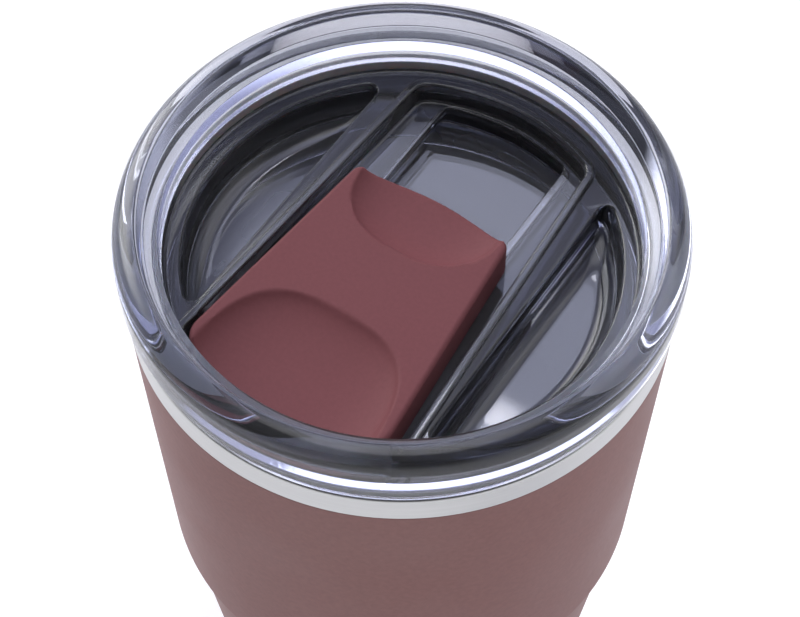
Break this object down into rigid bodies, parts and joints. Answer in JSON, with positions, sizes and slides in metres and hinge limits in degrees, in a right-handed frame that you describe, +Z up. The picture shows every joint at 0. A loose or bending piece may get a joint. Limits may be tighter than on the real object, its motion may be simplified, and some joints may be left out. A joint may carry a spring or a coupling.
{
  "type": "insulated tumbler with sliding lid",
  "caption": "Double-wall steel tumbler with a cup-holder foot and a clear press-in lid whose sliding cap opens the drinking hole.",
  "frame": {"origin": "centre of the base, on the surface the tumbler stands on", "axes": "+Z up along the tumbler's axis; the drinking side is at -Y and the slider opens towards +Y"},
  "size_m": [0.1, 0.1, 0.2],
  "materials": {
    "body_paint": "fine-grained matte powder coat",
    "bare_steel": "satin",
    "bead_glass": "smooth",
    "getter_metal": "dull",
    "base_rubber": "matte",
    "smoky_clear": "clear, polished, slightly smoky",
    "pale_silicone": "satin",
    "soft_touch": "soft-touch matte",
    "carrier_clear": "clear, slightly smoky"
  },
  "bodies": {
    "cup": {"outer_shell": "body_paint", "inner_liner": "bare_steel", "shell_base": "bare_steel", "sealing_bead": "bead_glass", "getter": "getter_metal", "foot_pad": "base_rubber"},
    "lid": {"lid_body": "smoky_clear", "lid_gasket": "pale_silicone"},
    "slider": {"slider_cap": "soft_touch", "slider_carrier": "carrier_clear", "slider_seal": "pale_silicone"}
  },
  "joints": [
    {"name": "lid_lift", "type": "slide", "parent": "cup", "child": "lid", "axis": [0, 0, 1], "range_m": [0, 0.06]},
    {"name": "slider_slide", "type": "slide", "parent": "lid", "child": "slider", "axis": [0, 1, 0], "range_m": [0, 0.022]}
  ]
}
